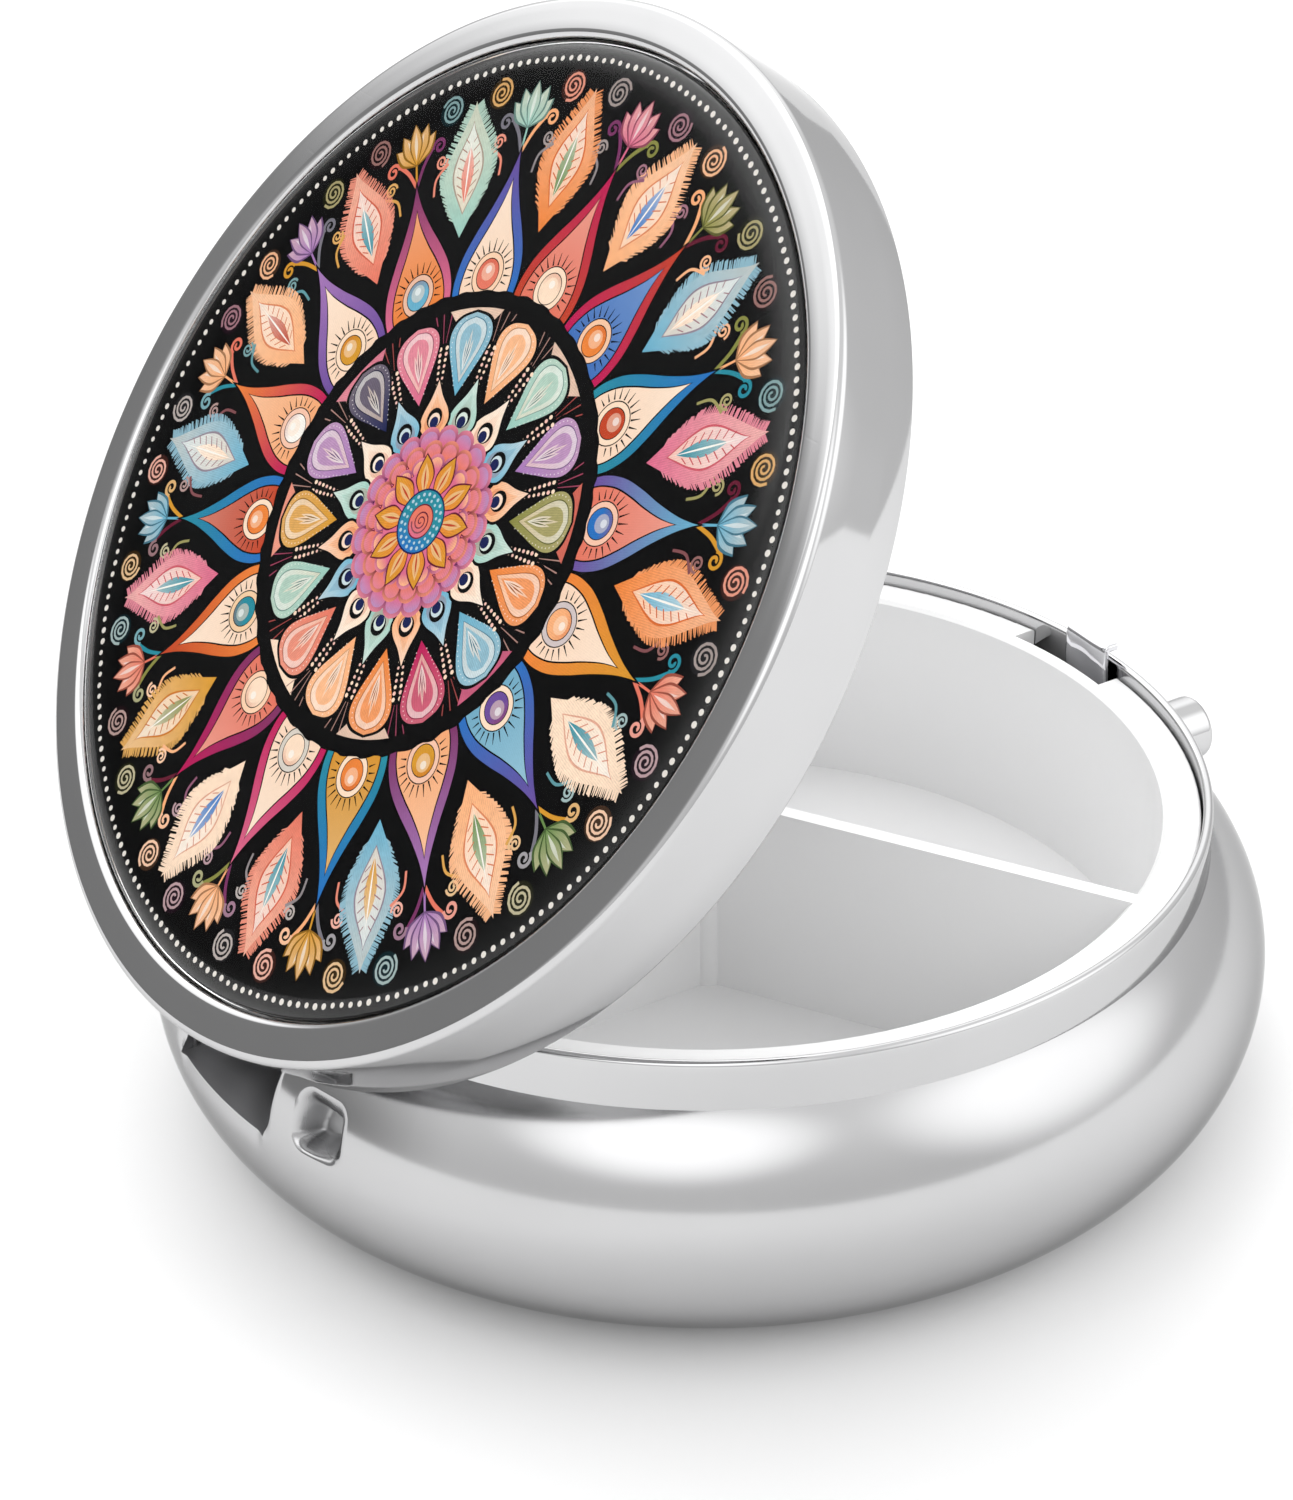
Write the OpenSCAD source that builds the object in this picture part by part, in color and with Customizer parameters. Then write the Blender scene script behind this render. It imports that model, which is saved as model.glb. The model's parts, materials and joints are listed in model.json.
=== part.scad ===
/* [Base] */
// Largest outer radius of the base (mm)
base_r = 25; // [22:0.5:28]
// Radius of the rounded bulge of the base (mm)
bulge_r = 6.83; // [6:0.01:7.5]
// Sheet thickness of the base shell (mm)
shell_t = 0.6; // [0.4:0.05:0.8]
// Outer radius of the upright neck (mm)
neck_r = 22.3; // [21.5:0.05:22.4]
// Wall of the neck ring (mm)
neck_t = 0.45; // [0.35:0.05:0.6]
// Height of the neck's lower edge (mm)
neck_low = 10.6; // [10:0.1:11]
// Height of the neck's rounded rim (mm)
neck_top = 14.5; // [14:0.1:15]

/* [Tray] */
// Inner radius of the tray's mouth (mm)
tray_in = 20.13; // [19:0.01:20.2]
// Inner radius of the tray at its floor (mm)
tray_floor_r = 19.96; // [19:0.01:20.1]
// Outer radius of the tray's wall (mm)
tray_wall_r = 20.62; // [20.4:0.01:20.7]
// Outer radius of the tray's flange (mm)
tray_flange_r = 21.8; // [21.2:0.01:21.81]
// Height of the flange's upper face (mm)
tray_top = 13.84; // [13:0.01:14]
// Thickness of the flange (mm)
flange_t = 0.84; // [0.6:0.02:1.2]
// Height of the compartment floor (mm)
floor_z = 4; // [3.5:0.1:5]
// Thickness of the compartment floor (mm)
floor_t = 0.8; // [0.6:0.1:1.2]
// Thickness of a divider (mm)
divider_t = 0.72; // [0.5:0.02:1.2]
// Thickness of the tape ring under the tray's foot (mm)
tape_t = 0.3; // [0.1:0.05:0.4]
// Left end of the latch notch (mm)
notch_lo = -1.95; // [-3:0.05:-1.8]
// Right end of the latch notch (mm)
notch_hi = 4.05; // [2:0.05:4.5]

/* [Hinge] */
// Distance of the hinge axis behind the centre (mm)
hinge_y = 21.79; // [21.7:0.01:22]
// Height of the hinge axis (mm)
hinge_z = 9.87; // [9.7:0.01:10]
// Radius of the hinge pin (mm)
pin_r = 0.46; // [0.4:0.01:0.48]
// Running clearance around the hinge pin (mm)
pin_gap = 0.04; // [0.02:0.01:0.08]
// Outer radius of the lid's knuckles (mm)
knuckle_r = 0.8; // [0.7:0.01:0.82]
// Half of the width of the hinge opening (mm)
slot_w = 3.75; // [3.5:0.05:4]
// Height of the hinge opening's lower edge (mm)
slot_z = 7.1; // [6.8:0.05:7.4]
// Angle by which the lid stands open (degrees)
open_a = 53.5; // [0:0.5:66]
// Wire radius of the hinge spring (mm)
hinge_wire = 0.11; // [0.08:0.01:0.12]
// Sheet thickness of brackets and strips (mm)
strip_t = 0.35; // [0.25:0.05:0.4]

/* [Pocket] */
// Angle of the small pocket beside the hinge (degrees)
pocket_a = 16.2; // [14:0.1:20]
// Height of the pocket's centre (mm)
pocket_z = 8.95; // [8.5:0.05:9.5]
// Width of the pocket (mm)
pocket_w = 2.75; // [2:0.05:3]
// Height of the pocket (mm)
pocket_h = 2.6; // [2:0.05:3]
// Depth of the pocket below the bulge (mm)
pocket_d = 1.15; // [0.6:0.05:1.3]

/* [Lid] */
// Outer radius of the lid (mm)
lid_r = 22.88; // [22.8:0.01:23.2]
// Inner radius of the lid's skirt (mm)
lid_in = 22.5; // [22.4:0.01:22.6]
// Height of the lid's lower edge when shut (mm)
lid_low = 12.4; // [12.3:0.05:12.8]
// Height of the bezel when shut (mm)
lid_top = 16.6; // [16.4:0.05:17]
// Rounding of the lid's outer edge (mm)
lid_round = 0.35; // [0.2:0.05:0.6]
// Sheet thickness of the lid (mm)
lid_t = 0.38; // [0.3:0.02:0.45]
// Radius of the recess for the picture (mm)
recess_r = 21.02; // [20:0.01:21.1]
// Height of the recess floor when shut (mm)
recess_z = 15.75; // [15.6:0.05:16]
// Width of the bevel around the recess (mm)
bevel_w = 0.36; // [0.1:0.02:0.5]

/* [Picture] */
// Radius of the picture disc and the dome (mm)
disc_r = 20.95; // [20:0.01:21]
// Thickness of the glue pad (mm)
pad_t = 0.15; // [0.05:0.05:0.3]
// Thickness of the picture disc (mm)
disc_t = 0.2; // [0.1:0.05:0.3]
// Height of the dome's upright edge (mm)
dome_edge = 0.2; // [0.1:0.05:0.4]
// Rise of the dome above that edge (mm)
dome_rise = 0.85; // [0.4:0.05:1.2]
// Radius of the rolled outer edge of the dome (mm)
dome_roll = 0.55; // [0.3:0.05:0.7]

/* [Latch] */
// Height of the button's axis (mm)
button_z = 8.3; // [8:0.1:8.6]
// Radius of the push button (mm)
button_r = 1.55; // [1.4:0.01:1.8]
// Distance of the button's face in front of the centre (mm)
button_end = 28.3; // [27:0.1:29]
// Running clearance around the button (mm)
button_gap = 0.07; // [0.02:0.01:0.09]
// Radius of the button's stem (mm)
stem_r = 0.6; // [0.5:0.01:0.7]
// Half of the width of the latch strip (mm)
latch_w = 1.45; // [1.2:0.05:1.6]
// Front face of the latch strip (mm)
latch_y = 21.55; // [21.5:0.01:21.6]
// Height of the latch lip's upper face (mm)
latch_top = 15.32; // [15.2:0.02:15.4]
// Reach of the latch lip (mm)
latch_lip = 22.05; // [22:0.01:22.1]
// Inner radius of the lid's strike lip (mm)
strike_in = 21.75; // [21.7:0.01:21.8]

/* [Hidden] */
$fn = 128;
bulge_c = base_r - bulge_r;
seat_z = bulge_r;
inner_r = bulge_r - shell_t;
lip_t = 0.32;
spring_turns = 3;

// Solid of revolution of the bulge, grown or shrunk to radius r
module bulge(r) {
  rotate_extrude()
    intersection() {
      union() {
        translate([bulge_c, seat_z]) circle(r);
        translate([0, seat_z - r]) square([bulge_c, 2 * r]);
      }
      translate([0, -1]) square([40, 30]);
    }
}

// Everything inside the bulge's sheet, used to trim brackets to the wall
module inside() {
  bulge(inner_r);
}

// Upright tube sector between two radii, cut to a width in x
module strip(ri, ro, z0, z1, x0, x1, side) {
  intersection() {
    difference() {
      translate([0, 0, z0]) cylinder(r = ro, h = z1 - z0);
      translate([0, 0, z0 - 1]) cylinder(r = ri, h = z1 - z0 + 2);
    }
    translate([x0, side > 0 ? 5 : -35, z0 - 1]) cube([x1 - x0, 30, z1 - z0 + 2]);
  }
}

// Turn a closed-lid part to the open rest position
module opened() {
  translate([0, hinge_y, hinge_z])
    rotate([-open_a, 0, 0])
      translate([0, -hinge_y, -hinge_z]) children();
}

module base_shell() {
  color([0.8, 0.8, 0.82])
  difference() {
    union() {
      difference() {
        bulge(bulge_r);
        inside();
        translate([0, 0, seat_z]) cylinder(r = neck_r, h = 20);
      }
      // Inner thickening that carries the pocket
      intersection() {
        inside();
        rotate([0, 0, pocket_a])
          translate([-pocket_w / 2 - 0.5, bulge_c, pocket_z - pocket_h / 2 - 0.5])
            cube([pocket_w + 1, 20, pocket_h + 1]);
        difference() {
          cylinder(r = 40, h = 30);
          translate([0, 0, -1]) cylinder(r = base_r - pocket_d - 1.4, h = 40);
        }
      }
    }
    // Hinge opening
    translate([-slot_w, 15, slot_z]) cube([2 * slot_w, 20, 20]);
    // Pocket with rounded corners
    rotate([0, 0, pocket_a])
      translate([0, base_r - pocket_d - 0.35, pocket_z])
        rotate([-90, 0, 0]) linear_extrude(10) offset(0.5)
          square([pocket_w - 1, pocket_h - 1], center = true);
    // Button hole
    translate([0, -10, button_z]) rotate([90, 0, 0])
      cylinder(r = button_r + button_gap, h = 20, $fn = 64);
  }
}

module neck_ring() {
  color([0.82, 0.82, 0.84])
  difference() {
    rotate_extrude() {
      translate([neck_r - neck_t, neck_low])
        square([neck_t, neck_top - neck_low - neck_t / 2]);
      translate([neck_r - neck_t / 2, neck_top - neck_t / 2]) circle(neck_t / 2, $fn = 48);
    }
    translate([-slot_w, 15, 5]) cube([2 * slot_w, 20, 20]);
  }
}

module tray() {
  low = floor_z - floor_t;
  edge = 0.15;
  color([0.96, 0.96, 0.97])
  difference() {
    union() {
      // Wall, floor and flange
      rotate_extrude()
        difference() {
          union() {
            translate([0, low]) square([tray_wall_r, tray_top - low - edge]);
            translate([0, tray_top - flange_t])
              square([tray_flange_r, flange_t - edge]);
            translate([0, tray_top - 0.3]) square([tray_flange_r - edge, 0.3]);
            translate([tray_flange_r - edge, tray_top - edge]) circle(edge, $fn = 48);
          }
          polygon([[-1, floor_z], [tray_floor_r, floor_z], [tray_in, tray_top - 0.2],
            [tray_in + 0.2, tray_top], [tray_in + 0.2, 20], [-1, 20]]);
        }
      // Foot ring
      rotate_extrude()
        translate([17.6, shell_t + tape_t]) square([1, low - shell_t - tape_t + 0.1]);
      // Three dividers
      for (a = [90, 210, 330])
        rotate([0, 0, a])
          translate([0, -divider_t / 2, floor_z - 0.2])
            cube([tray_in + 0.2, divider_t, tray_top - floor_z + 0.2 - 0.02]);
      // Rounded post where the dividers meet
      translate([0, 0, floor_z - 0.2]) cylinder(r = 0.75, h = tray_top - floor_z + 0.18);
    }
    // Latch notch through the flange
    difference() {
      translate([notch_lo, -30, tray_top - flange_t - 1])
        cube([notch_hi - notch_lo, 15, 5]);
      translate([0, 0, -1]) cylinder(r = tray_wall_r, h = 30);
    }
  }
}

module tray_tape() {
  color([0.85, 0.85, 0.8])
  difference() {
    translate([0, 0, shell_t]) cylinder(r = 18.15, h = tape_t);
    translate([0, 0, shell_t - 1]) cylinder(r = 17.4, h = tape_t + 2);
  }
}

module hinge_bracket() {
  wall = 0.4;
  color([0.7, 0.7, 0.72])
  difference() {
    intersection() {
      union() {
        // Side walls that hold the pin
        for (s = [-1, 1])
          translate([s > 0 ? slot_w : -slot_w - wall, 20.4, slot_z - wall])
            cube([wall, 10, neck_low - slot_z + wall]);
        // Floor of the recess
        translate([-slot_w - wall, 20.4, slot_z - wall])
          cube([2 * slot_w + 2 * wall, 10, wall]);
        // Back wall, bent around the tray
        strip(20.66, 20.9, slot_z - wall, 12.8, -slot_w - wall, slot_w + wall, 1);
      }
      union() {
        inside();
        strip(20, 21.5, slot_z, 12.8, -slot_w - wall, slot_w + wall, 1);
      }
    }
    translate([0, 0, -1]) cylinder(r = 20.66, h = 40);
    translate([-10, hinge_y, hinge_z]) rotate([0, 90, 0])
      cylinder(r = pin_r, h = 20, $fn = 64);
  }
}

module hinge_pin() {
  color([0.6, 0.6, 0.62])
  translate([-slot_w - 0.4, hinge_y, hinge_z]) rotate([0, 90, 0])
    cylinder(r = pin_r, h = 2 * slot_w + 0.8, $fn = 64);
}

// Wire of radius w swept along a list of points that wind about direction ax
module wire(pts, w, ax) {
  n = len(pts);
  m = 8;
  t = [for (i = [0 : n - 1])
    let (a = pts[max(i - 1, 0)], b = pts[min(i + 1, n - 1)]) (b - a) / norm(b - a)];
  u = [for (i = [0 : n - 1]) let (c = cross(t[i], ax)) c / norm(c)];
  v = [for (i = [0 : n - 1]) cross(u[i], t[i])];
  ring = [for (i = [0 : n - 1], j = [0 : m - 1])
    pts[i] + w * (cos(360 * j / m) * u[i] + sin(360 * j / m) * v[i])];
  sides = [for (i = [0 : n - 2], j = [0 : m - 1])
    [i * m + j, i * m + (j + 1) % m, (i + 1) * m + (j + 1) % m, (i + 1) * m + j]];
  ends = [[for (j = [0 : m - 1]) m - 1 - j], [for (j = [0 : m - 1]) (n - 1) * m + j]];
  polyhedron(ring, concat(sides, ends));
}

module hinge_spring() {
  rc = pin_r + 0.04 + hinge_wire;
  turns = 4;
  // One end rests on the bracket's floor, the other behind the opened leaf
  a0 = 180;
  a1 = a0 - 360 * turns - 90 - open_a;
  steps = 24 * turns;
  color([0.55, 0.55, 0.57])
  wire(concat(
    [[-1.05, hinge_y - rc, slot_z + 0.35]],
    [for (i = [0 : steps]) let (a = a0 + (a1 - a0) * i / steps)
      [-1.05 + 2.1 * i / steps, hinge_y + rc * cos(a), hinge_z + rc * sin(a)]],
    [[1.05, hinge_y + rc * cos(a1) + 1.3 * sin(a1), hinge_z + rc * sin(a1) - 1.3 * cos(a1)]]
  ), hinge_wire, [1, 0, 0]);
}

module button_bushing() {
  color([0.7, 0.7, 0.72])
  intersection() {
    inside();
    translate([0, -23.45, button_z]) rotate([90, 0, 0])
      difference() {
        cylinder(r = 2.25, h = 5, $fn = 64);
        translate([0, 0, -1]) cylinder(r = button_r + button_gap, h = 8, $fn = 64);
      }
  }
}

module latch_guide() {
  color([0.7, 0.7, 0.72])
  intersection() {
    inside();
    difference() {
      translate([-3.2, -26, 6]) cube([6.4, 4.2, 4.4]);
      translate([-2.85, -30, 5]) cube([5.7, 7.9, 8]);
      translate([0, -20, button_z]) rotate([90, 0, 0])
        cylinder(r = stem_r + 0.06, h = 8, $fn = 48);
    }
  }
}

module button_spring() {
  rc = 1.02;
  w = 0.09;
  y0 = 22.1 + w + 0.01;
  y1 = 23.1 - w - 0.01;
  n = 24 * spring_turns;
  color([0.55, 0.55, 0.57])
  wire([for (i = [0 : n]) let (a = 360 * spring_turns * i / n)
    [rc * cos(a), -(y0 + (y1 - y0) * i / n), button_z + rc * sin(a)]], w, [0, 1, 0]);
}

module push_button() {
  color([0.82, 0.82, 0.84])
  translate([0, -latch_y + 0.35, button_z]) rotate([90, 0, 0])
    rotate_extrude($fn = 64) {
      far = button_end - latch_y + 0.35;
      near = 23.1 - latch_y + 0.35;
      square([stem_r, near + 0.1]);
      translate([0, near]) square([2, 0.3]);
      translate([0, near]) square([button_r, far - near - 0.3]);
      translate([0, far - 0.35]) square([button_r - 0.3, 0.35]);
      translate([button_r - 0.3, far - 0.3]) circle(0.3, $fn = 48);
    }
}

module latch_strip() {
  color([0.75, 0.75, 0.77])
  difference() {
    union() {
      translate([-latch_w, -latch_y, 6.3]) cube([2 * latch_w, 0.35, latch_top - 6.3]);
      translate([-latch_w, -latch_lip, latch_top - lip_t])
        cube([2 * latch_w, latch_lip - latch_y + 0.35, lip_t]);
    }
    translate([0, -20, button_z]) rotate([90, 0, 0])
      cylinder(r = stem_r, h = 4, $fn = 64);
  }
}

module lid_shell() {
  step_r = recess_r + 0.35;
  under = lid_top - lid_t;
  color([0.82, 0.82, 0.84])
  opened() rotate_extrude()
    difference() {
      union() {
        translate([0, lid_low]) square([lid_r, lid_top - lid_low - lid_round]);
        translate([0, lid_low]) square([lid_r - lid_round, lid_top - lid_low]);
        translate([lid_r - lid_round, lid_top - lid_round]) circle(lid_round, $fn = 64);
      }
      // Picture recess with its bevel
      translate([-1, recess_z]) square([recess_r + 1, 5]);
      polygon([[recess_r - 0.1, lid_top - 0.45], [recess_r, lid_top - 0.45],
        [recess_r + bevel_w, lid_top], [recess_r + bevel_w, lid_top + 1],
        [recess_r - 0.1, lid_top + 1]]);
      // Hollow under the recess floor and under the bezel
      translate([-1, 0]) square([lid_in + 1, recess_z - 0.35]);
      translate([step_r, 10]) square([lid_in - step_r, under - 0.37 - 10]);
      translate([step_r, 10]) square([lid_in - step_r - 0.37, under - 10]);
      translate([lid_in - 0.37, under - 0.37]) circle(0.37, $fn = 48);
    }
}

module lid_leaf() {
  color([0.72, 0.72, 0.74])
  opened()
  difference() {
    union() {
      strip(lid_in - strip_t, lid_in, hinge_z + 1.4, 15.9, -3.2, 3.2, 1);
      translate([-3.2, hinge_y + 0.1, hinge_z]) cube([6.4, strip_t, 2.6]);
      translate([-3.2, hinge_y, hinge_z]) rotate([0, 90, 0])
        cylinder(r = knuckle_r, h = 6.4, $fn = 64);
    }
    // Room for the coil between the two knuckles
    translate([-1.25, hinge_y - 3, hinge_z - 2]) cube([2.5, 6, 3.3]);
    translate([-5, hinge_y, hinge_z]) rotate([0, 90, 0])
      cylinder(r = pin_r + pin_gap, h = 10, $fn = 64);
  }
}

module lid_strike() {
  low = latch_top - lip_t - 0.4;
  color([0.72, 0.72, 0.74])
  opened() {
    strip(lid_in - strip_t, lid_in, low, lid_top - lid_t - 0.4, -1.3, 1.3, -1);
    strip(strike_in, lid_in - strip_t + 0.05, low, low + 0.3, -1.3, 1.3, -1);
  }
}

module glue_pad() {
  color([0.9, 0.9, 0.85])
  opened() translate([0, 0, recess_z]) cylinder(r = 20.5, h = pad_t);
}

module art_disc() {
  color([0.08, 0.08, 0.09])
  opened() translate([0, 0, recess_z + pad_t]) cylinder(r = disc_r, h = disc_t);
}

module cabochon() {
  z0 = recess_z + pad_t + disc_t;
  zc = z0 + dome_edge;
  rr = disc_r - dome_roll;
  color([0.9, 0.95, 1, 0.35])
  opened() rotate_extrude()
    polygon(concat(
      [[0, z0], [disc_r, z0]],
      [for (i = [0 : 10]) [rr + dome_roll * cos(9 * i), zc + dome_roll * sin(9 * i)]],
      [for (i = [1 : 12]) let (q = 1 - i / 12)
        [rr * q, zc + dome_roll + (dome_rise - dome_roll) * (1 - q * q)]]
    ));
}

base_shell();
neck_ring();
tray();
tray_tape();
hinge_bracket();
hinge_pin();
hinge_spring();
button_bushing();
latch_guide();
button_spring();
push_button();
latch_strip();
lid_shell();
lid_leaf();
lid_strike();
glue_pad();
art_disc();
cabochon();
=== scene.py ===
import bpy
import bmesh
import json
import math
import random
from mathutils import Matrix, Vector
from mathutils.geometry import delaunay_2d_cdt


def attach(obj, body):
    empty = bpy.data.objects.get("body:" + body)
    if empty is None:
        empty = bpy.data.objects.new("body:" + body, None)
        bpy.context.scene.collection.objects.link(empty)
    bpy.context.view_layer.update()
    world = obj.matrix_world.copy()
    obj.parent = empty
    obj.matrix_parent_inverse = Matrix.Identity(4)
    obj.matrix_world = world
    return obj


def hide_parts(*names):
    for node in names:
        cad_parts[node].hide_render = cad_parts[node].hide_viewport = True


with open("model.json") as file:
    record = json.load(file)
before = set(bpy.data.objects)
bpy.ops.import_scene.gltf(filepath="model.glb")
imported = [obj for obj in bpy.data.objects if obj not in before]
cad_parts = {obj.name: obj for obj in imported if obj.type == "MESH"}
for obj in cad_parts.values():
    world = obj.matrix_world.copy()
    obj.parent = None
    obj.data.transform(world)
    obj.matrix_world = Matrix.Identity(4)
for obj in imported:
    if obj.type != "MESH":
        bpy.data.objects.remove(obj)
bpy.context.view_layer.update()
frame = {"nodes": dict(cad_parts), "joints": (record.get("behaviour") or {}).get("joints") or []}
nodes = frame["nodes"]
MM = 0.001

# ---------------------------------------------------------------- camera
AZIMUTH, ELEVATION, ROLL = 237.745, 29.812, -0.826
TARGET = Vector((3.690, 0.824, 14.482)) * MM
DISTANCE = 174.2 * MM
LENS, SENSOR = 92.98, 36


def back_vector(azimuth, elevation):
    a, e = math.radians(azimuth), math.radians(elevation)
    return Vector((math.sin(a) * math.cos(e), -math.cos(a) * math.cos(e), math.sin(e)))


cam_data = bpy.data.cameras.new("camera")
cam_data.lens = LENS
cam_data.sensor_width = SENSOR
cam_data.clip_start = 0.005
cam_data.clip_end = 20
camera = bpy.data.objects.new("camera", cam_data)
bpy.context.scene.collection.objects.link(camera)
back = back_vector(AZIMUTH, ELEVATION)
turn = (-back).to_track_quat("-Z", "Y").to_matrix() @ Matrix.Rotation(math.radians(ROLL), 3, "Z")
camera.matrix_world = Matrix.Translation(TARGET + back * DISTANCE) @ turn.to_4x4()
bpy.context.scene.camera = camera
bpy.context.scene.view_settings.view_transform = "Standard"


# ---------------------------------------------------------------- node helpers
class Nodes:
    """Short ways to add nodes to one tree."""

    def __init__(self, tree):
        self.tree = tree
        tree.nodes.clear()

    def add(self, kind, **props):
        node = self.tree.nodes.new(kind)
        for key, value in props.items():
            setattr(node, key, value)
        return node

    def put(self, value, socket):
        if isinstance(value, bpy.types.NodeSocket):
            self.tree.links.new(value, socket)
        elif value is not None:
            socket.default_value = value

    def math(self, op, a, b=None, c=None):
        node = self.add("ShaderNodeMath", operation=op)
        for value, socket in zip((a, b, c), node.inputs):
            self.put(value, socket)
        return node.outputs[0]

    def noise(self, vector, scale, detail=3.0, rough=0.5, distortion=0.0):
        node = self.add("ShaderNodeTexNoise")
        self.put(vector, node.inputs["Vector"])
        node.inputs["Scale"].default_value = scale
        node.inputs["Detail"].default_value = detail
        node.inputs["Roughness"].default_value = rough
        node.inputs["Distortion"].default_value = distortion
        return node.outputs["Fac"]

    def span(self, value, lo, hi, out_lo, out_hi, smooth=False):
        node = self.add("ShaderNodeMapRange")
        if smooth:
            node.interpolation_type = "SMOOTHSTEP"
        for v, socket in zip((value, lo, hi, out_lo, out_hi), node.inputs):
            self.put(v, socket)
        return node.outputs[0]

    def mix(self, fac, a, b, blend="MIX"):
        node = self.add("ShaderNodeMix", data_type="RGBA", blend_type=blend)
        self.put(fac, node.inputs[0])
        self.put(a, node.inputs[6])
        self.put(b, node.inputs[7])
        return node.outputs[2]

    def scaled(self, vector, scale, turn=(0, 0, 0)):
        node = self.add("ShaderNodeMapping")
        self.put(vector, node.inputs["Vector"])
        node.inputs["Scale"].default_value = scale
        node.inputs["Rotation"].default_value = turn
        return node.outputs[0]

    def bump(self, height, strength, distance):
        node = self.add("ShaderNodeBump")
        self.put(height, node.inputs["Height"])
        node.inputs["Strength"].default_value = strength
        node.inputs["Distance"].default_value = distance
        return node.outputs[0]


def material(name):
    mat = bpy.data.materials.new(name)
    mat.use_nodes = True
    n = Nodes(mat.node_tree)
    out = n.add("ShaderNodeOutputMaterial")
    return mat, n, out


def principled(n, out, **values):
    shader = n.add("ShaderNodeBsdfPrincipled")
    for key, value in values.items():
        n.put(value, shader.inputs[key.replace("_", " ")])
    n.tree.links.new(shader.outputs[0], out.inputs["Surface"])
    return shader


def rgb(r, g, b):
    """sRGB from 0 to 255 as linear colour."""
    def lin(v):
        v /= 255
        return v / 12.92 if v <= 0.04045 else ((v + 0.055) / 1.055) ** 2.4
    return (lin(r), lin(g), lin(b))


# ---------------------------------------------------------------- materials
def metal(name, light, dark, rough, spread, scratch=0.25, grain=0.0, satin=0.0, rim=1.0):
    """Plated metal: a haze of polish, fine hairlines and a few smudges.

    rim < 1 darkens it at grazing angles, painted shade along its silhouette edges.
    satin > 0 makes it rougher where the mesh's satin attribute is above zero, and darkens it there with
    painted shade."""
    mat, n, out = material(name)
    at = n.add("ShaderNodeTexCoord").outputs["Object"]
    haze = n.noise(at, 90, 4, 0.55)
    smudge = n.noise(at, 210, 3, 0.6, 0.8)
    hair = n.noise(n.scaled(at, (260, 4200, 900), (0.3, 0.2, 0.7)), 1.0, 2, 0.5)
    hair2 = n.noise(n.scaled(at, (3600, 300, 700), (0.1, 0.5, -0.4)), 1.0, 2, 0.5)
    lines = n.math("MULTIPLY", n.span(hair, 0.62, 0.8, 0, 1, True), n.span(hair2, 0.4, 0.7, 0.3, 1, True))
    tone = n.mix(n.span(haze, 0.3, 0.7, 0, 1), light, dark)
    r0 = n.span(smudge, 0.35, 0.75, rough, rough + spread, True)
    r1 = n.math("MULTIPLY_ADD", lines, 0.05 + grain, r0)
    if satin:
        rough_and_shaded_mask = n.add("ShaderNodeAttribute", attribute_name="satin").outputs["Fac"]
        r1 = n.math("MULTIPLY_ADD", rough_and_shaded_mask, satin, r1)
        # Painted shade: where marked, the colour is pulled most of the way to dark grey.
        tone = n.mix(n.math("MULTIPLY", rough_and_shaded_mask, 0.8), tone, (0.27, 0.27, 0.275, 1))
    height = n.math("ADD", n.math("MULTIPLY", lines, -scratch), n.math("MULTIPLY", haze, 0.2))
    normal = n.bump(height, 0.06, 0.00002)
    # Painted shade: rim greys the Specular_Tint, darkening reflections at grazing angles along the
    # silhouette.
    principled(n, out, Base_Color=tone, Metallic=1.0, Roughness=r1, Normal=normal,
               Specular_Tint=(rim, rim, rim, 1))
    return mat


def plastic(name, colour, shade, rough, weight=0.12):
    """Moulded plastic with a faint orange-peel, slight mottling, and painted shade that darkens it lower
    down, towards the floor of the tray.
    """
    mat, n, out = material(name)
    at = n.add("ShaderNodeTexCoord").outputs["Object"]
    tone = n.mix(n.span(n.noise(at, 60, 2, 0.5), 0.2, 0.8, 0, 1, True), colour, shade)
    height = n.add("ShaderNodeSeparateXYZ")
    n.put(at, height.inputs[0])
    # Painted shade: darker below 13.5 mm object height, most at 5 mm and under, for the shade down in the
    # tray.
    painted_depth_shade = n.span(height.outputs[2], 0.005, 0.0135, 0.16, 0.0, True)
    tone = n.mix(painted_depth_shade, tone, (0.2, 0.2, 0.21, 1))
    peel = n.noise(at, 900, 1, 0.4)
    r1 = n.span(n.noise(at, 150, 2, 0.5), 0.3, 0.7, rough - 0.03, rough + 0.05, True)
    normal = n.bump(peel, 0.05, 0.00001)
    principled(n, out, Base_Color=tone, Roughness=r1, Normal=normal,
               Subsurface_Weight=weight, Subsurface_Scale=0.0012,
               Subsurface_Radius=(1.0, 0.95, 0.9))
    return mat


chrome = metal("polished_metal", (0.565, 0.565, 0.57, 1), (0.535, 0.535, 0.54, 1), 0.085, 0.03, rim=0.6)
# Painted shade: the bowl's plating is the lid's plating set darker, standing in for the shaded floor it
# mirrors; it is also rougher.
shaded_bowl_plating = metal("bowl_plating_shaded", (0.525, 0.525, 0.53, 1), (0.50, 0.50, 0.505, 1), 0.13, 0.03,
                    satin=0.22, rim=0.55)
lid_chrome = metal("lid_metal", (0.56, 0.56, 0.565, 1), (0.53, 0.53, 0.535, 1), 0.06, 0.025, rim=0.7)
latch_chrome = metal("latch_metal", (0.72, 0.72, 0.74, 1), (0.62, 0.62, 0.64, 1), 0.06, 0.05, 0.5)
inner_metal = metal("inner_metal", (0.74, 0.74, 0.75, 1), (0.68, 0.68, 0.69, 1), 0.34, 0.06, 0.3, 0.05)
pin_metal = metal("pin_steel", (0.55, 0.55, 0.56, 1), (0.42, 0.42, 0.43, 1), 0.2, 0.12, 0.5, 0.1)
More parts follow.
